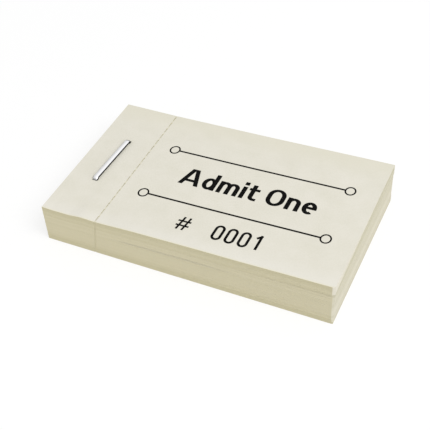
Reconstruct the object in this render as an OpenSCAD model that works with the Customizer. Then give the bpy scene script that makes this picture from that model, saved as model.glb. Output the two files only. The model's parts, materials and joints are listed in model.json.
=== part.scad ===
// Ticket book: perforated leaves held together at the stub end by one flat-wire staple.
// Each leaf is a stub and a tear-off ticket, joined by small ties along the perforation.
// +X runs from the stub end to the free end, +Y to the back and +Z up. The origin is the
// middle of the footprint, on the surface that the book lies on. Tickets count from the top.

/* [Book] */
// Length from the stub end to the free end
book_l = 58.5; // [50:0.5:80]
// Width along the stapled edge
book_w = 35; // [28:0.5:50]
// Number of leaves
leaf_count = 50; // [20:1:58]
// Thickness of one leaf
leaf_t = 0.16; // [0.1:0.01:0.22]
// Air between two leaves where the staple presses them
leaf_air = 0.003; // [0.002:0.001:0.01]
// How far the pressed leaves spring apart by the free end, over the whole stack
free_rise = 1.2; // [0:0.05:3]

/* [Perforation] */
// Length of the stub, from its end to the perforation
stub_l = 11.5; // [9:0.1:15]
// Number of cuts in the row
cut_count = 17; // [8:1:24]
// Length of paper left uncut between two cuts, which ties the ticket to its stub
tie_l = 0.8; // [0.4:0.05:1]
// Width of each cut
cut_w = 0.2; // [0.1:0.05:0.4]

/* [Staple] */
// Outside width of the crown
crown_w = 13.4; // [10:0.1:20]
// Width of the flat wire
wire_w = 1.1; // [0.7:0.05:1.4]
// Thickness of the flat wire
wire_t = 0.6; // [0.4:0.05:0.9]
// Inside radius of the wire's bends
bend_r = 0.2; // [0.1:0.05:0.6]
// Length of each tip that is clinched under the stub, from the outside of its leg
clinch_l = 3.6; // [2.5:0.1:4.5]
// Distance from the stub end to the staple
staple_inset = 5.85; // [3:0.05:8]
// How far the staple sits behind the middle of the width
staple_shift = -0.3; // [-3:0.1:3]
// Turn of the staple out of square, in degrees
staple_skew = 2.2; // [-5:0.1:5]
// Room round the wire in the holes that it makes
hole_clear = 0.05; // [0.02:0.01:0.15]

/* [Hidden] */
$fn = 48;
paper_colour = "#E4E1D5";
wire_colour = "#D5D6DB";
stub_end_x = -book_l / 2;
perf_x = stub_end_x + stub_l;
ticket_l = book_l - stub_l;
leaf_pitch = leaf_t + leaf_air;
stack_h = leaf_count * leaf_pitch - leaf_air;
cut_pitch = book_w / cut_count;
cut_l = cut_pitch - tie_l;
bend_outer_r = wire_t + bend_r;
clinched_leaves = ceil(wire_t / leaf_pitch);

// Node name of the ticket that is number k from the top
function ticket_name(k) = str("ticket_", k < 10 ? "0" : "", k);

// Number of leaves under leaf k
function leaves_under(k) = leaf_count - k;

// Height of the underside of leaf k at the staple
function leaf_z(k) = leaves_under(k) * leaf_pitch;

// How far ticket k rises from the perforation to the free end
function ticket_rise(k) = free_rise * leaves_under(k) / (leaf_count - 1);

// Rectangle with rounded corners, standing on the X axis
module rounded_rectangle(w, h, r) {
    translate([-w / 2, r]) square([w, h - 2 * r]);
    translate([r - w / 2, 0]) square([w - 2 * r, h]);
    for (x = [r - w / 2, w / 2 - r], y = [r, h - r])
        translate([x, y]) circle(r);
}

// The bent wire seen along X: crown on top, two legs, and tips turned in under the stub
module bent_wire() {
    difference() {
        rounded_rectangle(crown_w, stack_h + wire_t, bend_outer_r);
        translate([0, wire_t])
            rounded_rectangle(crown_w - 2 * wire_t, stack_h - wire_t, bend_r);
        translate([clinch_l - crown_w / 2, -wire_t])
            square([crown_w - 2 * clinch_l, 3 * wire_t]);
    }
}

// Moves what is drawn round the origin to the staple's place, turned as the staple is
module at_staple() {
    translate([stub_end_x + staple_inset, staple_shift, 0])
        rotate([0, 0, -staple_skew])
            children();
}

module staple() {
    color(wire_colour)
        at_staple()
            rotate([90, 0, 90])
                translate([0, 0, -wire_w / 2])
                    linear_extrude(wire_w)
                        bent_wire();
}

// Holes in leaf k for both legs, as long as the clinched tips in the lowest leaves
module leg_holes(k) {
    hole_l = leaves_under(k) < clinched_leaves ? clinch_l : bend_outer_r;
    hole = [wire_w + 2 * hole_clear, hole_l + 2 * hole_clear, 3 * leaf_t];
    at_staple()
        for (turn = [0, 180])
            rotate([0, 0, turn])
                translate([-hole.x / 2, crown_w / 2 + hole_clear - hole.y, leaf_z(k) - leaf_t])
                    cube(hole);
}

// All the stubs, one separate sheet for each leaf
module stubs() {
    color(paper_colour)
        for (k = [1:leaf_count])
            difference() {
                translate([stub_end_x, -book_w / 2, leaf_z(k)])
                    cube([stub_l, book_w, leaf_t]);
                leg_holes(k);
            }
}

// Cuts of the perforation through ticket k, with half a tie left at both ends of the row
module perforation(k) {
    for (i = [0:cut_count - 1])
        translate([perf_x - cut_w, i * cut_pitch + (tie_l - book_w) / 2, leaf_z(k) - leaf_t])
            cube([2 * cut_w, cut_l, 3 * leaf_t]);
}

// Side outline of ticket k, which slopes up from the perforation to the free end
module ticket_side(k) {
    polygon([
        [0, 0],
        [ticket_l, ticket_rise(k)],
        [ticket_l, ticket_rise(k) + leaf_t],
        [0, leaf_t]
    ]);
}

module ticket(k) {
    color(paper_colour)
        difference() {
            translate([perf_x, book_w / 2, leaf_z(k)])
                rotate([90, 0, 0])
                    linear_extrude(book_w)
                        ticket_side(k);
            perforation(k);
        }
}

staple();
stubs();
for (k = [1:leaf_count])
    ticket(k);
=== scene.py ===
# %% [markdown]
# # A book of tear-off tickets
#
# Fifty thin leaves lie under one flat-wire staple. Each leaf is a stub, which the staple holds, and a
# ticket, which tears off along a row of slits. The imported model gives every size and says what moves.
# This lesson dresses it with paper, print and a bright staple, and sets up the light and the camera.

import json
import math
import random

import bpy
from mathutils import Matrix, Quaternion, Vector

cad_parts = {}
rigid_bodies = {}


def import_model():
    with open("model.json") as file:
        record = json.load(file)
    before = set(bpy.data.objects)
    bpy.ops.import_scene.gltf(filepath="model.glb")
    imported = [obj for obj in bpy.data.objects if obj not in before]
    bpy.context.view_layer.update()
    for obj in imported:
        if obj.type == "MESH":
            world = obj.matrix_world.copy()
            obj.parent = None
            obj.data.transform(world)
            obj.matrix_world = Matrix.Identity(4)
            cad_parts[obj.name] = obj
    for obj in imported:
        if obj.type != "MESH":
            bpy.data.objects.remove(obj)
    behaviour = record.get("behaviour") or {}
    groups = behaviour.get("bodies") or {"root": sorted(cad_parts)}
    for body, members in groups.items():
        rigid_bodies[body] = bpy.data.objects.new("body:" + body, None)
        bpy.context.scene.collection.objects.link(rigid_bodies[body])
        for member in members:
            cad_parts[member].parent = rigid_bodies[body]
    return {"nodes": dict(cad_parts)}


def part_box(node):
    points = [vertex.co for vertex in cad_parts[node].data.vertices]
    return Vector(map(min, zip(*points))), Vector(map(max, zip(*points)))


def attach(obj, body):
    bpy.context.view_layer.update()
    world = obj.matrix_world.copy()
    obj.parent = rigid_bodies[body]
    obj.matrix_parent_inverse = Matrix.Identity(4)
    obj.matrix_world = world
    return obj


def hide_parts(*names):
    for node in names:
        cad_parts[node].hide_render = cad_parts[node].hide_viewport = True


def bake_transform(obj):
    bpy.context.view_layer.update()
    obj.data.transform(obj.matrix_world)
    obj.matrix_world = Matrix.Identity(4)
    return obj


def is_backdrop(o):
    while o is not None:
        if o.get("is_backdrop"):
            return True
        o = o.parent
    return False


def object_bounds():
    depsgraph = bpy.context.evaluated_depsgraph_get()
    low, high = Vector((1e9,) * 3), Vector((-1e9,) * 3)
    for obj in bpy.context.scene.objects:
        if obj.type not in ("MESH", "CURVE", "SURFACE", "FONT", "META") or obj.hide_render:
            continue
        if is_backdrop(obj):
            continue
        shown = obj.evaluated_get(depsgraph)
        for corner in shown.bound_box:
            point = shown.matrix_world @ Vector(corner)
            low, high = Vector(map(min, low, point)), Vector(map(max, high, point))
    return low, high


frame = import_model()
cad_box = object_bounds()
scene = bpy.context.scene

# %% [markdown]
# ## Sizes
#
# Numbers that are typed twice drift apart. So the sizes of the book are read from the boxes of the
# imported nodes, and only what a box can't tell is written down here. All lengths are in metres.

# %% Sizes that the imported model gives
MM = 0.001
TICKETS = sorted(name for name in frame["nodes"] if name.startswith("ticket_"))
LEAVES = len(TICKETS)
stub_low, stub_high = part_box("stubs")
top_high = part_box(TICKETS[0])[1]
STUB_END = stub_low.x
PERFORATION = stub_high.x
FREE_END = top_high.x
FRONT = stub_low.y
BACK = stub_high.y
LEAF_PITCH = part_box(TICKETS[-2])[0].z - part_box(TICKETS[-1])[0].z
SPREAD = top_high.z - stub_high.z
print("Leaves:", LEAVES, "at", round(LEAF_PITCH / MM, 3), "mm, spread", round(SPREAD / MM, 2), "mm")

# %% [markdown]
# ## Camera
#
# A camera can be placed by eye, but then every later comparison is a guess. Here the corners of the
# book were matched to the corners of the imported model, which gives the direction, the distance, the
# lens and a small roll. The place is worked out from those angles, so each can be changed by itself.

# %% Place the camera
AZIMUTH = math.radians(26.48)
ELEVATION = math.radians(42.74)
ROLL = math.radians(-3.15)
AIM = Vector((0.27, -3.32, 4.0)) * MM
DISTANCE = 183.7 * MM
# Lens and sensor are in millimetres, as on a real camera
LENS, SENSOR = 80.05, 36
NEAREST = 10 * MM
camera = bpy.data.objects.new("camera", bpy.data.cameras.new("camera"))
camera.data.lens = LENS
camera.data.sensor_width = SENSOR
camera.data.clip_start = NEAREST
towards_camera = Vector((
    math.sin(AZIMUTH) * math.cos(ELEVATION),
    -math.cos(AZIMUTH) * math.cos(ELEVATION),
    math.sin(ELEVATION),
))
camera.location = AIM + DISTANCE * towards_camera
camera.rotation_mode = "QUATERNION"
camera.rotation_quaternion = (-towards_camera).to_track_quat("-Z", "Y") @ Quaternion((0, 0, 1), ROLL)
scene.collection.objects.link(camera)
scene.camera = camera
scene.view_settings.view_transform = "Standard"
print("Camera at", [round(c / MM, 1) for c in camera.location], "mm")

# %% [markdown]
# ## Two helpers for node trees
#
# Light, paper and leaves are all made with nodes, and a node is always the same three things: its
# kind, its own options, and what goes into its inputs. So one function adds any node. A second one
# turns a hex colour, as a paint program shows it, into the linear values that a shader takes.

# %% Helpers for node trees
def add(tree, kind, inputs=None, **options):
    """Adds a node; an input takes a value, a socket, a node (its first output), or a list of nodes."""
    node = tree.nodes.new(kind)
    for name, value in options.items():
        setattr(node, name, value)
    for key, given in (inputs or {}).items():
        named = [s for s in node.inputs if s.enabled and s.name == key]
        socket = named[0] if named else node.inputs[key]
        for value in given if isinstance(given, list) else [given]:
            if isinstance(value, bpy.types.Node):
                value = next(s for s in value.outputs if s.enabled)
            if isinstance(value, bpy.types.NodeSocket):
                tree.links.new(value, socket)
            else:
                socket.default_value = value
    return node


def colour(code):
    """Linear colour of a hex code such as #E6E2D6."""
    parts = [int(code[i:i + 2], 16) / 255 for i in (1, 3, 5)]
    linear = [p / 12.92 if p <= 0.04045 else ((p + 0.055) / 1.055) ** 2.4 for p in parts]
    return (*linear, 1.0)


print("Middle grey is", [round(c, 3) for c in colour("#808080")])

# %% [markdown]
# ## Light and floor
#
# The book lies in a bright, soft studio: white light from all round, and one large lamp from the right,
# which leaves the long front side a little darker than the free end. The backdrop has to be white in the
# picture without more light on the paper, so what the camera or a reflection sees directly is told apart
# from what lights the book.

# %% Soft light from all round
def seen_directly(tree):
    """1 for what the camera, a mirror or glass sees, 0 for light that falls on something."""
    path = add(tree, "ShaderNodeLightPath")
    seen = path.outputs["Is Camera Ray"]
    for ray in ("Is Glossy Ray", "Is Transmission Ray"):
        seen = add(tree, "ShaderNodeMath", {0: seen, 1: path.outputs[ray]}, operation="MAXIMUM")
    return seen


SKY = 0.62
world = bpy.data.worlds.new("soft white studio")
world.use_nodes = True
world.node_tree.nodes.clear()
level = add(world.node_tree, "ShaderNodeMapRange", {
    "Value": seen_directly(world.node_tree), "To Min": SKY, "To Max": 1.0})
sky = add(world.node_tree, "ShaderNodeBackground", {"Color": colour("#FFFFFF"), "Strength": level})
add(world.node_tree, "ShaderNodeOutputWorld", {"Surface": sky})
scene.world = world

LAMP_PLACE = Vector((0.51, -0.2, 0.72))
LAMP_SIZE = 0.6
LAMP_POWER = 4.0
lamp = bpy.data.objects.new("key_lamp", bpy.data.lights.new("key_lamp", "AREA"))
lamp.data.shape = "DISK"
lamp.data.size = LAMP_SIZE
lamp.data.energy = LAMP_POWER
lamp.location = LAMP_PLACE
lamp.rotation_mode = "QUATERNION"
lamp.rotation_quaternion = (-LAMP_PLACE).to_track_quat("-Z", "Y")
scene.collection.objects.link(lamp)
print("Sky level", SKY, "and one lamp of", LAMP_POWER, "watts")

# %% White floor that keeps the shadow
def new_material(name):
    """An empty material and its node tree."""
    made = bpy.data.materials.new(name)
    made.use_nodes = True
    made.node_tree.nodes.clear()
    return made, made.node_tree


# What the card throws back, which the shadow darkens, and its own glow add up to just over white
SHADOW_SHARE = 0.32
CARD_LEVEL = 1.02
FLOOR_SIZE = 4.0
FLOOR_GAP = 0.02 * MM
# Matt white card: plain diffuse for light, and nearly white by itself for the camera
card, tree = new_material("matt white backdrop card")
card.cycles.emission_sampling = "NONE"
lit = add(tree, "ShaderNodeBsdfDiffuse", {"Color": colour("#E8E8E8")})
shaded = add(tree, "ShaderNodeBsdfDiffuse", {"Color": (SHADOW_SHARE, SHADOW_SHARE, SHADOW_SHARE, 1.0)})
glow = add(tree, "ShaderNodeEmission", {"Strength": CARD_LEVEL - SHADOW_SHARE})
white = add(tree, "ShaderNodeAddShader", {0: shaded, 1: glow})
either = add(tree, "ShaderNodeMixShader", {0: seen_directly(tree), 1: lit, 2: white})
add(tree, "ShaderNodeOutputMaterial", {"Surface": either})

REACH = FLOOR_SIZE / 2
around = ((-1, -1), (1, -1), (1, 1), (-1, 1))
corners = [(x * REACH, y * REACH, -FLOOR_GAP) for x, y in around]
floor_mesh = bpy.data.meshes.new("floor")
floor_mesh.from_pydata(corners, [], [(0, 1, 2, 3)])
floor_mesh.materials.append(card)
floor = bpy.data.objects.new("floor", floor_mesh)
scene.collection.objects.link(floor)
floor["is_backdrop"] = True
print("Floor of", FLOOR_SIZE, "m")

# %% [markdown]
# ## Paper
#
# The leaves are plain uncoated paper in a warm white. Uncoated paper has no gloss, and its fibres lie
# in faint clouds, so one flat colour looks like plastic. The colour drifts between two near tones on
# two scales, the clouds and the fibres, and the fibres also lift the surface a little. Along the front
# the faces are painted lighter, painted light, all but the rim, which gets a warmer painted shade, and
# along the back they get a yellower painted shade.

# %% Uncoated paper
CLOUD_SIZE = 4 * MM
# Real fibres are about 0.03 mm wide, too fine for the picture, so they are drawn ten times as coarse
FIBRE_SIZE = 0.3 * MM
FIBRE_SHARE = 0.45
FIBRE_LIFT = 0.02 * MM
LIFT_STRENGTH = 0.3
# From where to where each painted tint of light and shade grows, and the colour it goes halfway to
PAINTED_TINT_SHARE = 0.5
FACE_PAINTED_TINTS = (
    (FRONT + 4.5 * MM, FRONT, "#EEEBE2"),
    (FRONT + 0.5 * MM, FRONT, "#EBE5C9"),
    (10 * MM, BACK, "#E2DECA"),
)
# Uncoated paper: matt and warm white, with a faint grain of clouds and fibres
paper, tree = new_material("uncoated cream paper")
place = add(tree, "ShaderNodeTexCoord").outputs["Object"]
clouds = add(tree, "ShaderNodeTexNoise", {"Vector": place, "Scale": 1 / CLOUD_SIZE, "Detail": 2.0})
fibres = add(tree, "ShaderNodeTexNoise", {"Vector": place, "Scale": 1 / FIBRE_SIZE, "Detail": 3.0})
grain = add(tree, "ShaderNodeMix", {"Factor": FIBRE_SHARE, "A": clouds, "B": fibres}, data_type="FLOAT")
tint = add(tree, "ShaderNodeMix", {
    "Factor": grain, "A": colour("#DCD9C8"), "B": colour("#F0ECE2")}, data_type="RGBA")
spot = add(tree, "ShaderNodeSeparateXYZ", {0: place})
# Painted light along the front, and painted shade on the front rim and along the back
for inner, outer, painted_tint in FACE_PAINTED_TINTS:
    share = add(tree, "ShaderNodeMapRange", {
        "Value": spot.outputs["Y"], "From Min": inner, "From Max": outer, "To Max": PAINTED_TINT_SHARE},
        interpolation_type="SMOOTHSTEP")
    tint = add(tree, "ShaderNodeMix", {
        "Factor": share, "A": tint, "B": colour(painted_tint)}, data_type="RGBA")
lift = add(tree, "ShaderNodeBump", {"Strength": LIFT_STRENGTH, "Distance": FIBRE_LIFT, "Height": fibres})
matt = add(tree, "ShaderNodeBsdfPrincipled", {
    "Base Color": tint, "Roughness": 0.9, "Specular IOR Level": 0.25, "Normal": lift})
add(tree, "ShaderNodeOutputMaterial", {"Surface": matt})
print("Made", paper.name)

# %% [markdown]
# The cut edges of the leaves look warmer than their faces, because light goes into the stack between
# the sheets and comes out yellower, and that warmth is painted into their colour. They were cut by a
# guillotine, whose blade leaves faint upright marks. Each leaf also carries a tone, stored on its mesh,
# partly its own and partly painted shade, which draws the fine lines along the side of the stack, and
# a mark that tells the long sides, painted yellower as painted shade, from the ends.

# %% Guillotined paper edge
# The marks of the blade are far taller than wide, and only a little lighter than the rest
KNIFE_MARK = 0.35 * MM
MARK_STRETCH = 20
MARK_LIGHT = 0.03
# Darker tones, own and painted shade alike, are yellower as well, because their blue falls off faster
YELLOWING = 1.5
# Paper cut by a guillotine: rough, quite matt, and warmer than its faces
edge, tree = new_material("guillotined paper edge")
place = add(tree, "ShaderNodeTexCoord").outputs["Object"]
upright = add(tree, "ShaderNodeMapping", {"Vector": place, "Scale": (1.0, 1.0, 1 / MARK_STRETCH)})
marks = add(tree, "ShaderNodeTexNoise", {"Vector": upright, "Scale": 1 / KNIFE_MARK, "Detail": 2.0})
long_side = add(tree, "ShaderNodeAttribute", attribute_name="long_side").outputs["Fac"]
tone = add(tree, "ShaderNodeAttribute", attribute_name="leaf_tone").outputs["Fac"]
# The long sides are painted yellower than the ends: painted shade, where less of the lamp falls
warm = add(tree, "ShaderNodeMix", {
    "Factor": long_side, "A": colour("#DED9C4"), "B": colour("#E2DABA")}, data_type="RGBA")
shade = add(tree, "ShaderNodeMath", {0: marks, 1: MARK_LIGHT, 2: tone}, operation="MULTIPLY_ADD")
blue_shade = add(tree, "ShaderNodeMath", {0: shade, 1: YELLOWING}, operation="POWER")
shades = add(tree, "ShaderNodeCombineXYZ", {"X": shade, "Y": shade, "Z": blue_shade})
toned = add(tree, "ShaderNodeVectorMath", {0: warm, 1: shades}, operation="MULTIPLY")
rough = add(tree, "ShaderNodeBsdfPrincipled", {
    "Base Color": toned, "Roughness": 0.95, "Specular IOR Level": 0.15})
add(tree, "ShaderNodeOutputMaterial", {"Surface": rough})
print("Made", edge.name)

# %% [markdown]
# ## A tree becomes a mesh
#
# A leaf, a line of print and the staple all follow rules, so Geometry Nodes make them. Each tree gets
# named inputs, a new object runs it once, and the result is kept as a plain mesh at the origin.

# %% Helpers for geometry trees
def new_tree(name, inputs):
    """Starts a geometry tree with named inputs, and returns it with the sockets of those inputs."""
    tree = bpy.data.node_groups.new(name, "GeometryNodeTree")
    for label, kind in inputs.items():
        tree.interface.new_socket(label, in_out="INPUT", socket_type="NodeSocket" + kind)
    return tree, add(tree, "NodeGroupInput").outputs


def end_tree(tree, label, kind, result):
    """Ends a tree with one named output."""
    tree.interface.new_socket(label, in_out="OUTPUT", socket_type="NodeSocket" + kind)
    add(tree, "NodeGroupOutput", {label: result})


def grow(name, tree, values, start=None):
    """Runs a tree on a new object, and keeps the result as that object's plain mesh."""
    piece = bpy.data.objects.new(name, start or bpy.data.meshes.new(name))
    scene.collection.objects.link(piece)
    modifier = piece.modifiers.new(tree.name, "NODES")
    modifier.node_group = tree
    for socket in tree.interface.items_tree:
        if socket.name in values:
            modifier[socket.identifier] = values[socket.name]
    depsgraph = bpy.context.evaluated_depsgraph_get()
    mesh = bpy.data.meshes.new_from_object(piece.evaluated_get(depsgraph), depsgraph=depsgraph)
    piece.modifiers.clear()
    # A Boolean leaves an empty material slot
    while None in mesh.materials[:]:
        mesh.materials.pop(index=mesh.materials[:].index(None))
    piece.data = mesh
    mesh.name = name
    return piece


print("Trees can grow")

# %% [markdown]
# ## How high a leaf lies
#
# The staple presses the stubs flat, and past the perforation the leaves spring apart. Small things make
# the stack look handled: the top leaves stand off the others towards the free end, leaves further down
# gape along the front, and the front of the stub is pressed in and swells again at the perforation.
# Each is a soft step up or down along the book. Paper and print both need this height, so it is a group
# of its own that both trees use.

# %% Group that gives the height of a leaf
LIFTS = dict.fromkeys(("Rise", "Block lift", "Belly lift", "Ruffle"), "Float")
# From where to where, in mm from the stub end, which lift, and how much of it is added
SOFT_STEPS = (
    (27.8, 58.5, "Block lift", 1.0),
    (12.5, 20.0, "Belly lift", 1.0),
    (31.0, 44.0, "Belly lift", -1.0),
    (0.3, 2.2, "Ruffle", -1.0),
    (5.6, 8.6, "Ruffle", 2.7),
    (9.0, 11.5, "Ruffle", -0.9),
    (45.0, 58.5, "Ruffle", -0.8),
)
# At the back the leaves spring apart a little less, and the gape and the dip stay near the front
BACK_SPRING = 0.875
FRONT_BAND = 9 * MM
height_tree, given = new_tree("height of a leaf", {"X": "Float", "Y": "Float", **LIFTS})
along = add(height_tree, "ShaderNodeMapRange", {
    "Value": given["X"], "From Min": PERFORATION, "From Max": FREE_END})
spring = add(height_tree, "ShaderNodeMapRange", {
    "Value": given["Y"], "From Min": FRONT, "From Max": BACK, "To Min": 1.0, "To Max": BACK_SPRING})
sprung = add(height_tree, "ShaderNodeMath", {0: spring, 1: given["Rise"]}, operation="MULTIPLY")
lifted = add(height_tree, "ShaderNodeMath", {0: along, 1: sprung}, operation="MULTIPLY")
near_front = add(height_tree, "ShaderNodeMapRange", {
    "Value": given["Y"], "From Min": FRONT, "From Max": FRONT + FRONT_BAND, "To Min": 1.0, "To Max": 0.0},
    interpolation_type="SMOOTHSTEP")
amounts = {"Block lift": given["Block lift"]}
for label in ("Belly lift", "Ruffle"):
    amounts[label] = add(height_tree, "ShaderNodeMath", {
        0: near_front, 1: given[label]}, operation="MULTIPLY")
for begin, end, label, share in SOFT_STEPS:
    step = add(height_tree, "ShaderNodeMapRange", {
        "Value": given["X"], "From Min": STUB_END + begin * MM, "From Max": STUB_END + end * MM,
        "To Max": share}, interpolation_type="SMOOTHSTEP")
    lifted = add(height_tree, "ShaderNodeMath", {
        0: step, 1: amounts[label], 2: lifted}, operation="MULTIPLY_ADD")
end_tree(height_tree, "Height", "Float", lifted)
print("The height of a leaf takes", len(SOFT_STEPS), "soft steps")

# %% [markdown]
# ## The perforated leaf
#
# A leaf could be a box with slits cut out by a Boolean, but its faces would then be long and ragged
# just where the sheet bends. Instead a grid is laid out by rule: its columns fall on the ends of the
# slits, its rows on both sides of them, and the faces in the slits are deleted. Then the grid gets its
# height and its thickness, and the two holes for the legs of the staple.

# %% Rows and columns of the leaf
SLITS = 17
SLIT_PITCH = (BACK - FRONT) / SLITS
TIE = 0.8 * MM
SLIT = 0.24 * MM
LIP = 0.03 * MM
EDGE_NICK = 0.07 * MM
BEND_START = PERFORATION - 3.6 * MM
BEND_END = PERFORATION + 3.4 * MM
# Rows of faces from the stub end on, and the input that says how far they reach together
RUNS = (
    (8, "Stub length"), (7, "Dip length"), (1, "Lip"), (1, "Slit"), (1, "Lip"),
    (10, "Bend length"), (18, "Free length"), (1, "Last row length"),
)
ROWS = sum(rows for rows, label in RUNS)
SLIT_ROW = sum(rows for rows, label in RUNS[:3])
SLIT_MIDDLE = SLIT_ROW + 0.5
# How near the middle of the slits a face or a point of their row lies, in rows
NEAR_FACE, NEAR_POINT = 0.25, 0.6
COLUMNS = 2 * SLITS + 1
print("A leaf has", ROWS, "rows and", COLUMNS, "columns")

# %% The flat grid with its slits
LEAF_MEASURES = (
    "Stub end", "Stub length", "Dip length", "Lip", "Slit", "Bend length", "Free length",
    "Last row length", "Corner", "Front edge", "Front inset", "Back edge", "Slit pitch", "Tie", "Nick",
    "First row", "Last row", "Underside", "Thickness", "Hole width", "Hole length", "Hole reach",
    "Slit centre", "Side tone", "End tone", "Pale end", "Pale corner",
)
leaf_tree, given = new_tree("perforated leaf", {
    **dict.fromkeys(LEAF_MEASURES, "Float"), **LIFTS, "Staple place": "Vector", "Staple turn": "Vector",
    "Paper": "Material", "Edge": "Material"})
grid = add(leaf_tree, "GeometryNodeMeshGrid", {
    "Size X": float(ROWS), "Size Y": float(COLUMNS), "Vertices X": ROWS + 1, "Vertices Y": COLUMNS + 1})
cell = add(leaf_tree, "ShaderNodeSeparateXYZ", {0: add(leaf_tree, "GeometryNodeInputPosition")})
row = add(leaf_tree, "ShaderNodeMath", {0: cell.outputs["X"], 1: ROWS / 2}, operation="ADD")
column = add(leaf_tree, "ShaderNodeMath", {0: cell.outputs["Y"], 1: COLUMNS / 2}, operation="ADD")
in_row = add(leaf_tree, "ShaderNodeMath", {0: row, 1: SLIT_MIDDLE, 2: NEAR_FACE}, operation="COMPARE")
of_two = add(leaf_tree, "ShaderNodeMath", {0: column, 1: 2.0}, operation="FLOORED_MODULO")
in_column = add(leaf_tree, "ShaderNodeMath", {0: of_two, 1: 1.0}, operation="GREATER_THAN")
in_slit = add(leaf_tree, "ShaderNodeMath", {0: in_row, 1: in_column}, operation="MULTIPLY")
before = add(leaf_tree, "ShaderNodeMath", {0: row, 1: given["First row"]}, operation="LESS_THAN")
after = add(leaf_tree, "ShaderNodeMath", {0: row, 1: given["Last row"]}, operation="GREATER_THAN")
outside = add(leaf_tree, "ShaderNodeMath", {0: before, 1: after}, operation="MAXIMUM")
dropped = add(leaf_tree, "ShaderNodeMath", {0: in_slit, 1: outside}, operation="MAXIMUM")
slitted = add(leaf_tree, "GeometryNodeDeleteGeometry", {
    "Geometry": grid, "Selection": dropped}, domain="FACE")
print("Slits:", SLITS, "at", round(SLIT_PITCH / MM, 3), "mm")

# %% Real places for the rows and columns
x = given["Stub end"]
first = 0
for rows, label in RUNS:
    run = add(leaf_tree, "ShaderNodeMapRange", {
        "Value": row, "From Min": float(first), "From Max": float(first + rows), "To Max": given[label]})
    x = add(leaf_tree, "ShaderNodeMath", {0: x, 1: run}, operation="ADD")
    first += rows

half = add(leaf_tree, "ShaderNodeMath", {0: column, 1: 0.5}, operation="MULTIPLY")
whole = add(leaf_tree, "ShaderNodeMath", {0: half}, operation="FLOOR")
odd = add(leaf_tree, "ShaderNodeMath", {0: half}, operation="FRACT")
side = add(leaf_tree, "ShaderNodeMath", {0: odd, 1: 2.0, 2: -0.5}, operation="MULTIPLY_ADD")
half_tie = add(leaf_tree, "ShaderNodeMath", {0: side, 1: given["Tie"]}, operation="MULTIPLY")
across = add(leaf_tree, "ShaderNodeMath", {
    0: whole, 1: given["Slit pitch"], 2: half_tie}, operation="MULTIPLY_ADD")

# The leaf narrows by its inset, which grows to the free end
along = add(leaf_tree, "ShaderNodeMapRange", {"Value": x, "From Min": PERFORATION, "From Max": FREE_END})
front = add(leaf_tree, "ShaderNodeMath", {
    0: along, 1: given["Front inset"], 2: given["Front edge"]}, operation="MULTIPLY_ADD")
y = add(leaf_tree, "ShaderNodeMapRange", {
    "Value": across, "From Max": BACK - FRONT, "To Min": front, "To Max": given["Back edge"]})
print("Rows run over", [label for rows, label in RUNS])

# %% Nicks, front corner and height of the leaf
# A small nick shows where the row of slits meets the long sides, and the front corner is worn off
nicked = add(leaf_tree, "ShaderNodeMath", {0: row, 1: SLIT_MIDDLE, 2: NEAR_POINT}, operation="COMPARE")
inwards = add(leaf_tree, "ShaderNodeMath", {0: nicked, 1: given["Nick"]}, operation="MULTIPLY")
kept = add(leaf_tree, "ShaderNodeMath", {0: 1.0, 1: inwards}, operation="SUBTRACT")
y = add(leaf_tree, "ShaderNodeMath", {0: y, 1: kept}, operation="MULTIPLY")
last_row = add(leaf_tree, "ShaderNodeMath", {0: row, 1: ROWS - 0.5}, operation="GREATER_THAN")
first_column = add(leaf_tree, "ShaderNodeMath", {0: column, 1: 0.5}, operation="LESS_THAN")
at_corner = add(leaf_tree, "ShaderNodeMath", {0: last_row, 1: first_column}, operation="MULTIPLY")
y = add(leaf_tree, "ShaderNodeMath", {0: at_corner, 1: given["Corner"], 2: y}, operation="MULTIPLY_ADD")

lifted = add(leaf_tree, "GeometryNodeGroup", node_tree=height_tree)
leaf_tree.links.new(x.outputs[0], lifted.inputs["X"])
leaf_tree.links.new(y.outputs[0], lifted.inputs["Y"])
for label in LIFTS:
    leaf_tree.links.new(given[label], lifted.inputs[label])
z = add(leaf_tree, "ShaderNodeMath", {0: lifted, 1: given["Underside"]}, operation="ADD")
point = add(leaf_tree, "ShaderNodeCombineXYZ", {"X": x, "Y": y, "Z": z})
sheet = add(leaf_tree, "GeometryNodeSetPosition", {"Geometry": slitted, "Position": point})
print("Nicks are", round(EDGE_NICK / MM, 2), "mm deep")

# %% Thickness and staple holes of the leaf
# Points that lie nearer than this are one point
WELD = 0.001 * MM
# Far taller than the stack, so that the punch goes through a leaf at any height
PUNCH_HEIGHT = 0.1
up = add(leaf_tree, "ShaderNodeCombineXYZ", {"Z": 1.0})
walls = add(leaf_tree, "GeometryNodeExtrudeMesh", {
    "Mesh": sheet, "Offset": up, "Offset Scale": given["Thickness"], "Individual": False})
underside = add(leaf_tree, "GeometryNodeFlipFaces", {"Mesh": sheet})
both = add(leaf_tree, "GeometryNodeJoinGeometry", {"Geometry": [walls, underside]})
closed = add(leaf_tree, "GeometryNodeMergeByDistance", {"Geometry": both, "Distance": WELD})

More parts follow.
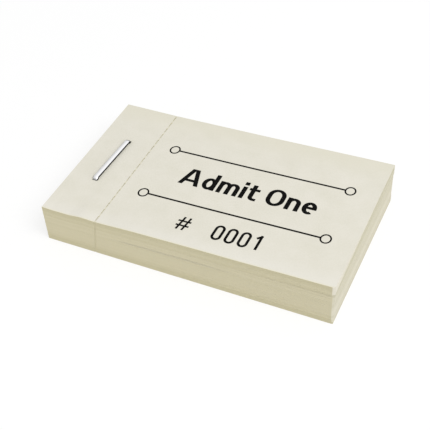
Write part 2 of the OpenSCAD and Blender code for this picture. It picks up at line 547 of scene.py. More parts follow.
hole_size = add(leaf_tree, "ShaderNodeCombineXYZ", {
    "X": given["Hole width"], "Y": given["Hole length"], "Z": PUNCH_HEIGHT})
punch = add(leaf_tree, "GeometryNodeMeshCube", {"Size": hole_size})
half_hole = add(leaf_tree, "ShaderNodeMath", {0: given["Hole length"], 1: 0.5}, operation="MULTIPLY")
reach = add(leaf_tree, "ShaderNodeMath", {0: given["Hole reach"], 1: half_hole}, operation="SUBTRACT")
reach_front = add(leaf_tree, "ShaderNodeMath", {0: reach, 1: -1.0}, operation="MULTIPLY")
punches = []
for leg in (reach, reach_front):
    leg_place = add(leaf_tree, "ShaderNodeCombineXYZ", {"Y": leg})
    punches.append(add(leaf_tree, "GeometryNodeTransform", {"Geometry": punch, "Translation": leg_place}))
pair = add(leaf_tree, "GeometryNodeJoinGeometry", {"Geometry": punches})
pair = add(leaf_tree, "GeometryNodeTransform", {
    "Geometry": pair, "Translation": given["Staple place"], "Rotation": given["Staple turn"]})
holed = add(leaf_tree, "GeometryNodeMeshBoolean", {
    0: closed, 1: pair}, operation="DIFFERENCE", solver="EXACT")
print("A leaf gets", len(punches), "holes for the staple")

# %% Tones of the cut edges
# A face is an edge if it looks less upwards than this, and on a long side if it looks more sideways
EDGE_BELOW, LONG_ABOVE = 0.5, 0.9
facing = add(leaf_tree, "ShaderNodeSeparateXYZ", {0: add(leaf_tree, "GeometryNodeInputNormal")})
upness = add(leaf_tree, "ShaderNodeMath", {0: facing.outputs["Z"]}, operation="ABSOLUTE")
sideness = add(leaf_tree, "ShaderNodeMath", {0: facing.outputs["Y"]}, operation="ABSOLUTE")
is_edge = add(leaf_tree, "ShaderNodeMath", {0: upness, 1: EDGE_BELOW}, operation="LESS_THAN")
is_long = add(leaf_tree, "ShaderNodeMath", {0: sideness, 1: LONG_ABOVE}, operation="GREATER_THAN")

# Free ends are pale up to a slanting line and dark some way past it, and pale at the front corner too:
# painted light on the loose top leaves, and painted shade past the line.
# At the stub end a metre is added, so that both lie far off.
END_PAINTED_LIGHT, END_PAINTED_SHADE = 1.13, 0.86
DARK_MIDDLE, DARK_REACH = 16.6 * MM, 7.9 * MM
# The walls of the slits are painted darker, painted shade in the slits, and the ties between them a
# little darker, painted shade along the row
SLIT_PAINTED_SHADE, TIE_PAINTED_SHADE = 0.8, 0.98
WALL_REACH, TIE_REACH = 0.6 * SLIT, 0.4 * SLIT
spot = add(leaf_tree, "ShaderNodeSeparateXYZ", {0: add(leaf_tree, "GeometryNodeInputPosition")})
at_stub = add(leaf_tree, "ShaderNodeMath", {0: spot.outputs["X"], 1: 0.0}, operation="LESS_THAN")
free_y = add(leaf_tree, "ShaderNodeMath", {0: spot.outputs["Y"], 1: at_stub}, operation="ADD")
past = add(leaf_tree, "ShaderNodeMath", {0: free_y, 1: given["Pale end"]}, operation="SUBTRACT")
pale_reach = add(leaf_tree, "ShaderNodeMath", {
    0: given["Pale end"], 1: given["Pale corner"]}, operation="MAXIMUM")
is_painted_light = add(leaf_tree, "ShaderNodeMath", {0: free_y, 1: pale_reach}, operation="LESS_THAN")
is_painted_shade = add(leaf_tree, "ShaderNodeMath", {0: past, 1: DARK_MIDDLE, 2: DARK_REACH}, operation="COMPARE")
at_slit, is_tie = [
    add(leaf_tree, "ShaderNodeMath", {
        0: spot.outputs["X"], 1: given["Slit centre"], 2: near}, operation="COMPARE")
    for near in (WALL_REACH, TIE_REACH)]
edge_tone_and_shade = given["End tone"]
# Painted light and shade on the free ends, and painted shade in the slits and on the ties
tones = (
    (is_painted_shade, END_PAINTED_SHADE), (is_painted_light, END_PAINTED_LIGHT), (at_slit, SLIT_PAINTED_SHADE), (is_long, given["Side tone"]),
    (is_tie, TIE_PAINTED_SHADE))
for chosen, tone in tones:
    edge_tone_and_shade = add(leaf_tree, "ShaderNodeMix", {
        "Factor": chosen, "A": edge_tone_and_shade, "B": tone}, data_type="FLOAT")
print("A cut edge can have", len(tones), "tones besides that of its end")

# %% Finish of the leaf
marked = holed
for name, value in (("long_side", is_long), ("leaf_tone", edge_tone_and_shade)):
    marked = add(leaf_tree, "GeometryNodeStoreNamedAttribute", {
        "Geometry": marked, "Name": name, "Value": value}, data_type="FLOAT", domain="FACE")
crisp = add(leaf_tree, "GeometryNodeSetShadeSmooth", {"Geometry": marked, "Shade Smooth": False})
whole_leaf = add(leaf_tree, "GeometryNodeRealizeInstances", {"Geometry": crisp})
papered = add(leaf_tree, "GeometryNodeSetMaterial", {"Geometry": whole_leaf, "Material": given["Paper"]})
is_cut = add(leaf_tree, "ShaderNodeMath", {0: is_edge, 1: is_tie}, operation="MAXIMUM")
edged = add(leaf_tree, "GeometryNodeSetMaterial", {
    "Geometry": papered, "Selection": is_cut, "Material": given["Edge"]})
end_tree(leaf_tree, "Geometry", "Geometry", edged)
print("The leaf tree has", len(leaf_tree.nodes), "nodes")

# %% [markdown]
# ## Fifty leaves
#
# The stack was cut in blocks, so leaves in one block end at the same line and the blocks differ by a
# tenth of a millimetre. At the free end handling has loosened the top leaves, most at the front corner:
# their ends are painted pale down to a slanting line, painted light, with painted shade just past it.
# Every leaf has its own tone and its own small shift of the slits, from a fixed seed. A leaf is one
# sheet that bends across the perforation. Only the two top leaves are split there, because their
# tickets fold over and tear off.

# %% Blocks and bundles of leaves
SEED = 50
TOP_BLOCK = 12
# Blocks from the top: leaves, how far they stand back (mm), and how light their long sides and ends are
# The tones are partly the blocks' own and partly painted shade, which draws the lines between blocks
BLOCKS = (
    (6, 0.0, 0.91, 0.93),
    (6, 0.0, 0.965, 0.93),
    (8, 0.14, 0.995, 0.955),
    (8, 0.14, 0.99, 0.935),
    (6, 0.14, 0.99, 0.98),
    (5, 0.12, 0.985, 1.03),
    (4, 0.08, 0.955, 0.99),
    (7, 0.03, 0.91, 0.97),
)
block_of = [block[1:] for block in BLOCKS for leaf in range(block[0])]
# Leaves that lie close together look like one line, so a bundle has tones in common
BUNDLE = 3
BUNDLE_SIDES, BUNDLE_ENDS = (-0.02, 0.01), (-0.05, 0.03)
draw = random.Random(SEED)
bundle_tones = [
    (draw.uniform(*BUNDLE_SIDES), draw.uniform(*BUNDLE_ENDS)) for leaf in range(0, LEAVES, BUNDLE)]
print("Blocks of", [block[0] for block in BLOCKS], "leaves, in", len(bundle_tones), "bundles")

# %% How a leaf lies
BLOCK_LIFT = 0.18 * MM
BELLY_LIFT = 0.17 * MM
RUFFLE = 0.1 * MM
BELLY_TOP, BELLY_END = 20, 22


def lifts_of(number):
    """How leaf number, counted from the top, lies on the leaves under it."""
    share = (LEAVES - number) / (LEAVES - 1)
    return {
        "Rise": (SPREAD - BLOCK_LIFT) * share,
        "Block lift": BLOCK_LIFT if number <= TOP_BLOCK else 0.0,
        "Belly lift": BELLY_LIFT * min(1.0, max(0.0, (BELLY_END - number) / (BELLY_END - BELLY_TOP))),
        "Ruffle": RUFFLE * share,
    }


print("The top leaf rises by", round(lifts_of(1)["Rise"] / MM, 2), "mm and its block lift")

# %% Ends, corners and slits down the stack
# The blade leaned a little, so both ends of the stack stand in towards the bottom
STUB_LEAN, FREE_LEAN = 0.16 * MM, 0.085 * MM
# A block stands back less at its end than along its front
END_SHARE = 0.6
# How much of the front corner is rubbed off, along the front and along the end, down to a leaf
CORNERS = (
    (TOP_BLOCK, 0.5 * MM, 0.36 * MM),
    (LEAVES - 3, 0.35 * MM, 0.34 * MM),
    (LEAVES, 0.35 * MM, 0.08 * MM),
)
# The pale ends reach the front edge in one leaf, and a step further back in every leaf above it.
# At the front corner they go on to the foot of the top block.
LAST_PALE = 8
PALE_STEP, CORNER_STEP = 3.5 * MM, 0.9 * MM
# The row of slits runs a little aslant down the stack, as the leaves moved under the perforating blade.
# The second leaf shows through the slits of the first, so its own slits lie further on.
SLIT_START = -0.05 * MM
SLIT_SLANT = -0.92 * MM
SECOND_SLIT = 0.2 * MM
# How much single leaves differ from each other, in mm for places and as a share for tones
END_SCATTER, SLIT_SCATTER = (0, 0.03), (-0.03, 0.03)
FRONT_SCATTER, BACK_SCATTER = (0, 0.02), (0, 0.04)
SIDE_TONES, END_TONES = (-0.01, 0.01), (-0.015, 0.015)
print("The slits run aslant by", round(SLIT_SLANT / MM, 2), "mm from top to bottom")

# %% Holes for the staple
STAPLE_TURN = (0, 0, math.radians(-2.2))
staple_low, staple_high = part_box("staple")
STAPLE_PLACE = ((staple_low.x + staple_high.x) / 2, (staple_low.y + staple_high.y) / 2, 0)
CROWN = 13.4 * MM
WIRE_WIDTH = 1.1 * MM
WIRE_THICKNESS = 0.6 * MM
WIRE_BEND = 0.2 * MM
CLINCH = 3.6 * MM
HOLE_ROOM = 0.02 * MM
CLINCHED_LEAVES = math.ceil(WIRE_THICKNESS / LEAF_PITCH)
print("The tips of the staple lie in the lowest", CLINCHED_LEAVES, "leaves")

# %% All the inputs of a leaf
LEAF_THICKNESS = 0.155 * MM


def leaf_values(number):
    """All the inputs of the leaf tree for leaf number."""
    under = LEAVES - number
    set_back, side_tone, end_tone = block_of[number - 1]
    depth = (number - 1) / (LEAVES - 1)
    back = (END_SHARE * set_back + draw.uniform(*END_SCATTER)) * MM + FREE_LEAN * depth
    rubbed_front, rubbed_end = next(corner[1:] for corner in CORNERS if number <= corner[0])
    bundle_side, bundle_end = bundle_tones[(number - 1) // BUNDLE]
    slit_shift = SLIT_START + SLIT_SLANT * depth + draw.uniform(*SLIT_SCATTER) * MM
    if number == 2:
        slit_shift = SECOND_SLIT
    clinched = under < CLINCHED_LEAVES
    return {
        **lifts_of(number),
        "Stub end": STUB_END + STUB_LEAN * depth,
        "Stub length": BEND_START - STUB_END - STUB_LEAN * depth,
        "Dip length": PERFORATION + slit_shift - LIP - BEND_START,
        "Lip": LIP,
        "Slit": SLIT,
        "Bend length": BEND_END - PERFORATION - slit_shift - SLIT - LIP,
        "Free length": FREE_END - back - rubbed_front - BEND_END,
        "Last row length": rubbed_front,
        "Corner": rubbed_end,
        "Front edge": FRONT + draw.uniform(*FRONT_SCATTER) * MM,
        "Front inset": set_back * MM,
        "Back edge": BACK - draw.uniform(*BACK_SCATTER) * MM,
        "Slit pitch": SLIT_PITCH,
        "Tie": TIE,
        "Nick": EDGE_NICK / BACK,
        "Underside": under * LEAF_PITCH,
        "Thickness": LEAF_THICKNESS,
        "Hole width": WIRE_WIDTH + 2 * HOLE_ROOM,
        "Hole length": (CLINCH if clinched else WIRE_THICKNESS + WIRE_BEND) + 2 * HOLE_ROOM,
        "Hole reach": CROWN / 2 + HOLE_ROOM,
        "Staple place": STAPLE_PLACE,
        "Staple turn": STAPLE_TURN,
        "Side tone": side_tone + bundle_side + draw.uniform(*SIDE_TONES),
        "End tone": end_tone + bundle_end + draw.uniform(*END_TONES),
        "Slit centre": PERFORATION + slit_shift + SLIT / 2,
        "Pale end": FRONT + (LAST_PALE - number) * PALE_STEP,
        "Pale corner": FRONT + (TOP_BLOCK - number) * CORNER_STEP,
        "Paper": paper,
        "Edge": edge,
    }


print("A leaf is", round(LEAF_THICKNESS / MM, 3), "mm thick")

# %% Grow the leaves, and let the split ones move
SPLIT_LEAVES = 2
WHOLE = (0.0, float(ROWS))
STUB_PART = (0.0, float(SLIT_ROW))
TICKET_PART = (float(SLIT_ROW), float(ROWS))
triangles = 0
for number in range(1, LEAVES + 1):
    node = TICKETS[number - 1]
    values = leaf_values(number)
    parts = {"leaf": WHOLE} if number > SPLIT_LEAVES else {"stub": STUB_PART, "tear_off": TICKET_PART}
    for part, (first_row, last_row) in parts.items():
        values.update({"First row": first_row, "Last row": last_row})
        piece = grow(f"{part}_{number:02d}", leaf_tree, values)
        if part == "leaf":
            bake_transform(piece)
            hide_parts("stubs", node)
        elif part == "stub":
            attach(piece, "stub_block")
            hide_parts("stubs")
        else:
            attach(piece, node)
            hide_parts(node)
        triangles += sum(len(face.vertices) - 2 for face in piece.data.polygons)
print("The leaves have", triangles, "triangles")

# %% [markdown]
# ## Print
#
# Two thin rules with ring ends, a bold line and a number are printed on every ticket, in black ink
# that lies on the paper as a film. The strokes of plain lettering all have one width, as if drawn with
# a pen, so each letter is a few paths down the middle of its strokes, and a tree sweeps the pen along.

# %% Black printing ink
INK_BLOTCH = 0.6 * MM
# Offset ink soaks into uncoated paper: nearly black, matt, and a little uneven
ink, tree = new_material("black offset ink")
place = add(tree, "ShaderNodeTexCoord").outputs["Object"]
blotch = add(tree, "ShaderNodeTexNoise", {"Vector": place, "Scale": 1 / INK_BLOTCH, "Detail": 2.0})
black = add(tree, "ShaderNodeMix", {
    "Factor": blotch, "A": colour("#050505"), "B": colour("#100F0E")}, data_type="RGBA")
film = add(tree, "ShaderNodeBsdfPrincipled", {
    "Base Color": black, "Roughness": 0.8, "Specular IOR Level": 0.06})
add(tree, "ShaderNodeOutputMaterial", {"Surface": film})
print("Made", ink.name)

# %% Tree that draws with a pen
pen_tree, given = new_tree("pen strokes", {
    "Geometry": "Geometry", "Pen": "Float", "Film": "Float", "Squeeze": "Float", "Low line": "Float",
    "High line": "Float", "Ink": "Material"})
paths = add(pen_tree, "GeometryNodeMeshToCurve", {"Mesh": given["Geometry"]})
nib = add(pen_tree, "GeometryNodeCurvePrimitiveQuadrilateral", {
    "Width": given["Pen"], "Height": given["Film"]})
bars = add(pen_tree, "GeometryNodeCurveToMesh", {"Curve": paths, "Profile Curve": nib, "Fill Caps": True})
squeeze = add(pen_tree, "ShaderNodeCombineXYZ", {"X": 1.0, "Y": given["Squeeze"], "Z": 1.0})
bars = add(pen_tree, "GeometryNodeTransform", {"Geometry": bars, "Scale": squeeze})
joined = add(pen_tree, "GeometryNodeMeshBoolean", {1: bars, "Self Intersection": True},
             operation="UNION", solver="EXACT")
tall = add(pen_tree, "ShaderNodeMath", {0: given["High line"], 1: given["Low line"]}, operation="SUBTRACT")
middle = add(pen_tree, "ShaderNodeMath", {0: tall, 1: 0.5, 2: given["Low line"]}, operation="MULTIPLY_ADD")
line_size = add(pen_tree, "ShaderNodeCombineXYZ", {"X": 1.0, "Y": tall, "Z": 1.0})
line_place = add(pen_tree, "ShaderNodeCombineXYZ", {"Y": middle})
line = add(pen_tree, "GeometryNodeTransform", {
    "Geometry": add(pen_tree, "GeometryNodeMeshCube", {"Size": line_size}), "Translation": line_place})
trimmed = add(pen_tree, "GeometryNodeMeshBoolean", {
    1: [joined, line]}, operation="INTERSECT", solver="EXACT")
real = add(pen_tree, "GeometryNodeRealizeInstances", {"Geometry": trimmed})
inked = add(pen_tree, "GeometryNodeSetMaterial", {"Geometry": real, "Material": given["Ink"]})
end_tree(pen_tree, "Geometry", "Geometry", inked)
print("The pen tree has", len(pen_tree.nodes), "nodes")

# %% Paths for the pen
INK_FILM = 0.006 * MM
SHARP = math.radians(35)
# Degrees from one point of an arc to the next
ARC_STEP = 12
# Lines this far from the writing trim nothing
FAR_OFF = 1.0


def arc(centre, radii, start, end):
    """Points round an ellipse from one angle to another, in degrees."""
    count = max(2, round(abs(end - start) / ARC_STEP))
    angles = [math.radians(start + (end - start) * i / count) for i in range(count + 1)]
    return [(centre[0] + radii[0] * math.cos(a), centre[1] + radii[1] * math.sin(a)) for a in angles]


def cut_at_corners(path, run_on):
    """A swept pen pinches at a sharp corner, so a path is cut there and both ends run on a little."""
    runs = [[path[0]]]
    for before, here, after in zip(path, path[1:], path[2:]):
        runs[-1].append(here)
        if (here - before).angle(after - here) > SHARP:
            runs[-1][-1] = here + (here - before).normalized() * run_on
            runs.append([here - (after - here).normalized() * run_on])
    runs[-1].append(path[-1])
    return runs


def draw_strokes(name, strokes, pen, squeeze=1.0, low_line=-FAR_OFF, high_line=FAR_OFF):
    """Draws strokes given in mm. One that ends where it starts is a loop; squeeze thins the level ones."""
    points, edges = [], []
    for stroke in strokes:
        path = [Vector((px, py / squeeze, 0)) * MM for px, py in stroke]
        loop = (path[0] - path[-1]).length < WELD
        for run in [path[:-1]] if loop else cut_at_corners(path, pen / 2):
            start = len(points)
            points += run
            edges += [(i, i + 1) for i in range(start, len(points) - 1)]
            edges += [(len(points) - 1, start)] if loop else []
    mesh = bpy.data.meshes.new(name)
    mesh.from_pydata(points, edges, [])
    return grow(name, pen_tree, {
        "Pen": pen, "Film": INK_FILM, "Squeeze": squeeze, "Low line": low_line, "High line": high_line,
        "Ink": ink}, mesh)


print("A path is cut where it turns more than", round(math.degrees(SHARP)), "degrees")

# %% [markdown]
# The places below are in millimetres from the stub end and the front edge. The rules and the rings
# come first. The words are the plainest that a ticket can carry, in a bold upright letter.

# %% Rules with ring ends
RULE_PEN, RING_PEN = 0.42, 0.32
RING_LEFT, RING_RIGHT = 16.2, 52.95
RULE_HEIGHTS = (10.8, 24.65)
RING_RADII = (0.95, 1.08)
RULE_STEPS = 24
# A rule ends in the outer half of the ring's line
RULE_GAP = RING_RADII[0] + RING_PEN / 4
rule_strokes, ring_strokes = [], []
for height in RULE_HEIGHTS:
    begin, end = RING_LEFT + RULE_GAP, RING_RIGHT - RULE_GAP
    rule_strokes.append([(begin + (end - begin) * i / RULE_STEPS, height) for i in range(RULE_STEPS + 1)])
    for ring in (RING_LEFT, RING_RIGHT):
        ring_strokes.append(arc((ring, height), RING_RADII, 0, 360))
rules = draw_strokes("rules", rule_strokes, RULE_PEN * MM)
rings = draw_strokes("rings", ring_strokes, RING_PEN * MM)
print("Rules have", len(rules.data.polygons), "faces and rings", len(rings.data.polygons))

# %% Letters of the bold line
BOLD_PEN = 0.9
# Level strokes of a bold letter are thinner than its stems
LEVEL_SHARE = 0.76
HALF = BOLD_PEN / 2
THIN = HALF * LEVEL_SHARE
CAP, SMALL = 4.75, 3.4
top = SMALL - THIN


def bowl(end):
    """Round part of a small letter, from its right side round to an angle."""
    return arc((1.4, SMALL / 2), (1.4 - HALF, top - SMALL / 2), 0, end)


def arch(left, width, rise):
    """Shoulder of a small letter, from the stem at its left over and down to the line."""
    return arc((left + width / 2, top - rise), (width / 2, rise), 180, 0) + [(left + width, 0)]


STEM = [(HALF, 0), (HALF, SMALL)]
# How wide each letter is, and its strokes
LETTERS = {
    "A": (4.2, [
        [(0.33, -0.48), (1.92, 5.23)],
        [(3.87, -0.48), (2.28, 5.23)],
        [(1.0, 1.35), (3.2, 1.35)]]),
    "d": (2.85, [bowl(360), [(2.85 - HALF, 0), (2.85 - HALF, CAP)]]),
    "m": (3.3 + BOLD_PEN, [STEM, arch(HALF, 1.65, 0.9), arch(HALF + 1.65, 1.65, 0.9)]),
    "i": (BOLD_PEN, [STEM, [(HALF, 3.85), (HALF, CAP)]]),
    "t": (2.2, [
        [(0.85, 4.4)] + arc((1.5, THIN + 0.65), (0.65, 0.65), 180, 270) + [(2.15, THIN)],
        [(0, top), (2.15, top)]]),
    "O": (3.6, [
        arc((1.8, CAP - THIN - 1.5), (1.8 - HALF, 1.5), 0, 180)
        + arc((1.8, THIN + 1.5), (1.8 - HALF, 1.5), 180, 360) + [(3.6 - HALF, CAP - THIN - 1.5)]]),
    "n": (1.85 + BOLD_PEN, [STEM, arch(HALF, 1.85, 0.95)]),
    "e": (2.8, [[(HALF, 1.78), (2.8 - HALF, 1.78)], [(2.8 - HALF, 1.45)] + bowl(305)]),
}
print("Letters drawn:", len(LETTERS))

# %% Set the line of words
TITLE_MIDDLE, TITLE_BASE = 34.9, 15.75
LETTER_GAP, WORD_GAP = 0.45, 1.6
title_strokes = []
pen_x = 0.0
for letter in "Admit One":
    if letter == " ":
        pen_x += WORD_GAP - LETTER_GAP
        continue
    advance, strokes = LETTERS[letter]
    title_strokes += [[(pen_x + px, TITLE_BASE + py) for px, py in stroke] for stroke in strokes]
    pen_x += advance + LETTER_GAP
title_start = TITLE_MIDDLE - (pen_x - LETTER_GAP) / 2
title_strokes = [[(title_start + px, py) for px, py in stroke] for stroke in title_strokes]
title = draw_strokes(
    "title", title_strokes, BOLD_PEN * MM, LEVEL_SHARE, TITLE_BASE * MM, (TITLE_BASE + CAP) * MM)
print("The line of words is", round(pen_x - LETTER_GAP, 1), "mm long")

# %% [markdown]
# The number is stamped by a numbering machine: wheels with the digits 0 to 9 turn up by one at every
# stamp. The tree does the same. It has ten digits in a collection and four points for the wheels, and
# each point picks its digit from the number of the ticket.

# %% Ten digits and a number sign
NUMBER_PEN = 0.52
DIGIT_WIDTH, DIGIT_HEIGHT = 2.0 - NUMBER_PEN, 4.1 - NUMBER_PEN
SIX = [(0.76, 1.0)] + arc((0.5, 0.29), (0.5, 0.29), 152, 512)
DIGITS = (
    [arc((0.5, 0.78), (0.5, 0.22), 0, 180) + arc((0.5, 0.22), (0.5, 0.22), 180, 360) + [(1.0, 0.78)]],
    [[(0.1, 0.8), (0.6, 1.0), (0.6, 0.0)]],
    [arc((0.5, 0.76), (0.5, 0.24), 170, -25) + [(0.0, 0.0), (1.0, 0.0)]],
    [arc((0.47, 0.765), (0.45, 0.235), 150, -90) + [(0.3, 0.53)],
     [(0.3, 0.53)] + arc((0.47, 0.265), (0.53, 0.265), 90, -150)],
    [[(0.7, 1.0), (0.0, 0.27), (1.0, 0.27)], [(0.72, 0.52), (0.72, 0.0)]],
    [[(0.92, 1.0), (0.12, 1.0), (0.08, 0.5)] + arc((0.47, 0.3), (0.53, 0.3), 140, -150)],
    [SIX],
    [[(0.0, 1.0), (1.0, 1.0), (0.33, 0.0)]],
    [arc((0.5, 0.76), (0.44, 0.24), 0, 360), arc((0.5, 0.27), (0.5, 0.27), 0, 360)],
    [[(1 - px, 1 - py) for px, py in SIX]],
)
SIGN = (
    [(0.2, 0.0), (0.36, 1.0)],
    [(0.64, 0.0), (0.8, 1.0)],
    [(0.0, 0.33), (1.0, 0.33)],
    [(0.0, 0.67), (1.0, 0.67)],
)
wheel = bpy.data.collections.new("digits of the wheel")
for digit, strokes in enumerate(DIGITS):
    placed = [[((px - 0.5) * DIGIT_WIDTH, py * DIGIT_HEIGHT) for px, py in stroke] for stroke in strokes]
    shape = draw_strokes(f"digit_{digit}", placed, NUMBER_PEN * MM)
    scene.collection.objects.unlink(shape)
    wheel.objects.link(shape)
NUMBER_LINE = 3.45
NUMBER_BASE = NUMBER_LINE + NUMBER_PEN / 2
SIGN_PEN = 0.42
SIGN_START, SIGN_WIDTH = 26.0, 2.6
placed_sign = [
    [(SIGN_START + px * SIGN_WIDTH, NUMBER_BASE + py * DIGIT_HEIGHT) for px, py in stroke]
    for stroke in SIGN]
sign = draw_strokes("number_sign", placed_sign, SIGN_PEN * MM)

# %% Tree that prints a ticket
PRINT_MEASURES = ("Wheel pitch", "Wheel X", "Wheel Y", "Corner X", "Corner Y", "Surface")
print_tree, given = new_tree("print on a ticket", {
    "Geometry": "Geometry", "Digits": "Collection", "Number": "Int", "Wheels": "Int",
    **dict.fromkeys(PRINT_MEASURES, "Float"), **LIFTS, "Ink": "Material"})
wheel_place = add(print_tree, "ShaderNodeCombineXYZ", {"X": given["Wheel X"], "Y": given["Wheel Y"]})
wheel_step = add(print_tree, "ShaderNodeCombineXYZ", {"X": given["Wheel pitch"]})
wheels = add(print_tree, "GeometryNodeMeshLine", {
    "Count": given["Wheels"], "Start Location": wheel_place, "Offset": wheel_step})
last_wheel = add(print_tree, "ShaderNodeMath", {0: given["Wheels"], 1: 1.0}, operation="SUBTRACT")
place_value = add(print_tree, "ShaderNodeMath", {
    0: last_wheel, 1: add(print_tree, "GeometryNodeInputIndex")}, operation="SUBTRACT")
power = add(print_tree, "ShaderNodeMath", {0: 10.0, 1: place_value}, operation="POWER")
shifted = add(print_tree, "ShaderNodeMath", {0: given["Number"], 1: power}, operation="DIVIDE")
counted = add(print_tree, "ShaderNodeMath", {0: shifted}, operation="FLOOR")
digit = add(print_tree, "ShaderNodeMath", {0: counted, 1: 10.0}, operation="FLOORED_MODULO")
shapes = add(print_tree, "GeometryNodeCollectionInfo", {
    "Collection": given["Digits"], "Separate Children": True, "Reset Children": True})
stamped = add(print_tree, "GeometryNodeInstanceOnPoints", {
    "Points": wheels, "Instance": shapes, "Pick Instance": True, "Instance Index": digit})
number_mesh = add(print_tree, "GeometryNodeRealizeInstances", {"Geometry": stamped})
together = add(print_tree, "GeometryNodeJoinGeometry", {"Geometry": [given["Geometry"], number_mesh]})
corner = add(print_tree, "ShaderNodeCombineXYZ", {"X": given["Corner X"], "Y": given["Corner Y"]})
on_book = add(print_tree, "GeometryNodeTransform", {"Geometry": together, "Translation": corner})
spot = add(print_tree, "ShaderNodeSeparateXYZ", {0: add(print_tree, "GeometryNodeInputPosition")})
lifted = add(print_tree, "GeometryNodeGroup", node_tree=height_tree)
for axis in ("X", "Y"):
    print_tree.links.new(spot.outputs[axis], lifted.inputs[axis])
for label in LIFTS:
    print_tree.links.new(given[label], lifted.inputs[label])
rise = add(print_tree, "ShaderNodeMath", {0: lifted, 1: given["Surface"]}, operation="ADD")
laid = add(print_tree, "GeometryNodeSetPosition", {
    "Geometry": on_book, "Offset": add(print_tree, "ShaderNodeCombineXYZ", {"Z": rise})})
real = add(print_tree, "GeometryNodeRealizeInstances", {"Geometry": laid})
inked = add(print_tree, "GeometryNodeSetMaterial", {"Geometry": real, "Material": given["Ink"]})
end_tree(print_tree, "Geometry", "Geometry", inked)
print("The print tree has", len(print_tree.nodes), "nodes")

# %% Print every ticket
WHEELS = 4
WHEEL_PITCH = 2.58 * MM
FIRST_WHEEL = 34.28 * MM
# The film lies a quarter of its thickness deep in the paper
FILM_RISE = INK_FILM / 4
form = bpy.data.meshes.new("printing_form")
points, faces = [], []
for part in (rules, rings, title, sign):
    start = len(points)
    points += [v.co.copy() for v in part.data.vertices]
    faces += [[start + i for i in face.vertices] for face in part.data.polygons]
    bpy.data.objects.remove(part)
form.from_pydata(points, [], faces)
for number in range(1, LEAVES + 1):
    film = grow(f"print_{number:02d}", print_tree, {
        **lifts_of(number), "Digits": wheel, "Number": number, "Wheels": WHEELS, "Wheel pitch": WHEEL_PITCH,
        "Wheel X": FIRST_WHEEL, "Wheel Y": NUMBER_BASE * MM, "Corner X": STUB_END, "Corner Y": FRONT,
        "Surface": (LEAVES - number) * LEAF_PITCH + LEAF_THICKNESS + FILM_RISE, "Ink": ink}, form)
    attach(film, TICKETS[number - 1])
for shape in list(wheel.objects):
    bpy.data.objects.remove(shape)
print("The print of a ticket has", len(film.data.polygons), "faces")

# %% [markdown]
# ## Staple
#
# The staple is flat steel wire with a bright zinc coat. Its crown shines white, and its rolled sides
# are dull and painted nearly black, painted shade and a painted dark reflection, which draws the thin
# line along it. It is a flat profile with rounded edges, swept along six points with rounded corners,
# so the bends are as even as a stapler makes them.

# %% Bright zinc coat
DRAWN_LINE = 0.08 * MM
LINE_STRETCH = 25
# Across the wire, from -1 at one edge to 1 at the other: where its painted dark reflection is darkest,
# and where it has gone
DIMMEST_EDGE, BRIGHT_FROM = -0.9, 0.4
# How far the surface leans where the painted shade of a bend begins, and where it is darkest
BEND_SHADE_BEGINS, BEND_SHADE_FULL = 0.34, 0.7
# Roughness between the drawn lines and on them
POLISHED, SCRATCHED = 0.2, 0.34
# Zinc-plated steel: a light metal with faint lines along the wire from drawing it. One edge is painted
# greyer, a painted dark reflection, and the bends are painted darker, painted shade.
zinc, tree = new_material("zinc-plated steel wire")
place = add(tree, "ShaderNodeTexCoord").outputs["Object"]
drawn = add(tree, "ShaderNodeMapping", {
    "Vector": place, "Scale": (1.0, 1 / LINE_STRETCH, 1 / LINE_STRETCH)})
lines = add(tree, "ShaderNodeTexNoise", {"Vector": drawn, "Scale": 1 / DRAWN_LINE, "Detail": 2.0})
silver = add(tree, "ShaderNodeMix", {
    "Factor": lines, "A": colour("#F4F4F6"), "B": colour("#FFFFFF")}, data_type="RGBA")
across = add(tree, "ShaderNodeAttribute", attribute_name="across").outputs["Fac"]
edge_dim_share = add(tree, "ShaderNodeMapRange", {"Value": across, "From Min": DIMMEST_EDGE, "From Max": BRIGHT_FROM})
edge_dimmed = add(tree, "ShaderNodeMix", {
    "Factor": edge_dim_share, "A": colour("#C2C2C4"), "B": silver}, data_type="RGBA")
bend = add(tree, "ShaderNodeAttribute", attribute_name="bend").outputs["Fac"]
bend_shaded = add(tree, "ShaderNodeMapRange", {"Value": bend, "From Min": BEND_SHADE_BEGINS, "From Max": BEND_SHADE_FULL})
plate = add(tree, "ShaderNodeMix", {
    "Factor": bend_shaded, "A": edge_dimmed, "B": colour("#606062")}, data_type="RGBA")
gloss = add(tree, "ShaderNodeMapRange", {"Value": lines, "To Min": POLISHED, "To Max": SCRATCHED})
bright = add(tree, "ShaderNodeBsdfPrincipled", {"Base Color": plate, "Metallic": 1.0, "Roughness": gloss})
add(tree, "ShaderNodeOutputMaterial", {"Surface": bright})
print("Made", zinc.name)

# %% Sides in painted shade
DULL_SPOT = 0.3 * MM
# Rolled side of the wire: dull, and painted nearly black as painted shade and a painted dark reflection
shaded_side, tree = new_material("wire side in painted shade")
place = add(tree, "ShaderNodeTexCoord").outputs["Object"]
spots = add(tree, "ShaderNodeTexNoise", {"Vector": place, "Scale": 1 / DULL_SPOT, "Detail": 2.0})
grey = add(tree, "ShaderNodeMix", {
    "Factor": spots, "A": colour("#080808"), "B": colour("#181716")}, data_type="RGBA")
side = add(tree, "ShaderNodeBsdfPrincipled", {
    "Base Color": grey, "Metallic": 0.0, "Roughness": 0.6, "Specular IOR Level": 0.2})
add(tree, "ShaderNodeOutputMaterial", {"Surface": side})
print("Made", shaded_side.name)

# %% Tree that bends the wire
SIDE_SHARE = 0.85
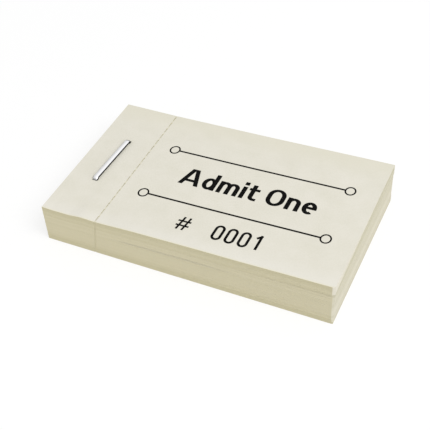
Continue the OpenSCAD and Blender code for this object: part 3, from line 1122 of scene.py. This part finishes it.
# The far bend is painted dark sooner, as painted shade on the side away from the lamp
FAR_BEND_SHADE = 0.3
BEND_STEPS, EDGE_STEPS = 8, 6
wire_tree, given = new_tree("bent flat wire", {
    "Geometry": "Geometry", "Wire width": "Float", "Wire thickness": "Float", "Edge radius": "Float",
    "Bend radius": "Float", "Place": "Vector", "Turn": "Vector", "Bright": "Material", "Dull": "Material"})
path = add(wire_tree, "GeometryNodeMeshToCurve", {"Mesh": given["Geometry"]})
bent = add(wire_tree, "GeometryNodeFilletCurve", {
    "Curve": path, "Count": BEND_STEPS, "Radius": given["Bend radius"]}, mode="POLY")
flat = add(wire_tree, "GeometryNodeCurvePrimitiveQuadrilateral", {
    "Width": given["Wire width"], "Height": given["Wire thickness"]})
rounded = add(wire_tree, "GeometryNodeFilletCurve", {
    "Curve": flat, "Count": EDGE_STEPS, "Radius": given["Edge radius"]}, mode="POLY")
section = add(wire_tree, "ShaderNodeSeparateXYZ", {0: add(wire_tree, "GeometryNodeInputPosition")})
half_width = add(wire_tree, "ShaderNodeMath", {0: given["Wire width"], 1: -0.5}, operation="MULTIPLY")
share = add(wire_tree, "ShaderNodeMath", {0: section.outputs["X"], 1: half_width}, operation="DIVIDE")
rounded = add(wire_tree, "GeometryNodeStoreNamedAttribute", {
    "Geometry": rounded, "Name": "across", "Value": share}, data_type="FLOAT", domain="POINT")
wire = add(wire_tree, "GeometryNodeCurveToMesh", {
    "Curve": bent, "Profile Curve": rounded, "Fill Caps": True})
facing = add(wire_tree, "ShaderNodeSeparateXYZ", {0: add(wire_tree, "GeometryNodeInputNormal")})
lean = add(wire_tree, "ShaderNodeMath", {0: facing.outputs["Y"], 1: FAR_BEND_SHADE})
bend = add(wire_tree, "ShaderNodeMath", {0: lean}, operation="ABSOLUTE")
marked = add(wire_tree, "GeometryNodeStoreNamedAttribute", {
    "Geometry": wire, "Name": "bend", "Value": bend}, data_type="FLOAT", domain="POINT")
across = add(wire_tree, "GeometryNodeInputNamedAttribute", {"Name": "across"}, data_type="FLOAT")
reach = add(wire_tree, "ShaderNodeMath", {0: across.outputs["Attribute"]}, operation="ABSOLUTE")
is_side = add(wire_tree, "ShaderNodeMath", {0: reach, 1: SIDE_SHARE}, operation="GREATER_THAN")
smooth = add(wire_tree, "GeometryNodeSetShadeSmooth", {"Geometry": marked, "Shade Smooth": True})
placed = add(wire_tree, "GeometryNodeTransform", {
    "Geometry": smooth, "Translation": given["Place"], "Rotation": given["Turn"]})
real = add(wire_tree, "GeometryNodeRealizeInstances", {"Geometry": placed})
plated = add(wire_tree, "GeometryNodeSetMaterial", {"Geometry": real, "Material": given["Bright"]})
# The sides take the near-black paint that stands for shade
sided = add(wire_tree, "GeometryNodeSetMaterial", {
    "Geometry": plated, "Selection": is_side, "Material": given["Dull"]})
end_tree(wire_tree, "Geometry", "Geometry", sided)
print("The wire tree has", len(wire_tree.nodes), "nodes")

# %% Bend the staple
WIRE_EDGE = 0.29 * MM
leg_y = (CROWN - WIRE_THICKNESS) / 2
tip_y = CROWN / 2 - CLINCH
crown_z = staple_high.z - WIRE_THICKNESS / 2
tip_z = staple_low.z + WIRE_THICKNESS / 2
bends = [
    (-tip_y, tip_z), (-leg_y, tip_z), (-leg_y, crown_z),
    (leg_y, crown_z), (leg_y, tip_z), (tip_y, tip_z),
]
wire_path = bpy.data.meshes.new("wire_path")
wire_path.from_pydata([(0, by, bz) for by, bz in bends], [(i, i + 1) for i in range(len(bends) - 1)], [])
staple = grow("bent_staple", wire_tree, {
    "Wire width": WIRE_WIDTH, "Wire thickness": WIRE_THICKNESS, "Edge radius": WIRE_EDGE,
    "Bend radius": WIRE_BEND + WIRE_THICKNESS / 2, "Place": STAPLE_PLACE, "Turn": STAPLE_TURN,
    "Bright": zinc, "Dull": shaded_side}, wire_path)
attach(staple, "stub_block")
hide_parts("staple")
print("The staple has", len(staple.data.polygons), "faces")

# %% [markdown]
#
# The looks are meant to keep the size of the object. The box of the imported model and the box of what
# is shown now are printed side by side, so that they can be compared.

# %% Print both boxes and finish
sizes = {"cad": [list(corner) for corner in cad_box], "visual": [list(corner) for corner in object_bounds()]}
for name, (low, high) in sizes.items():
    print(name, [round((h - l) / MM, 3) for l, h in zip(low, high)], "mm")
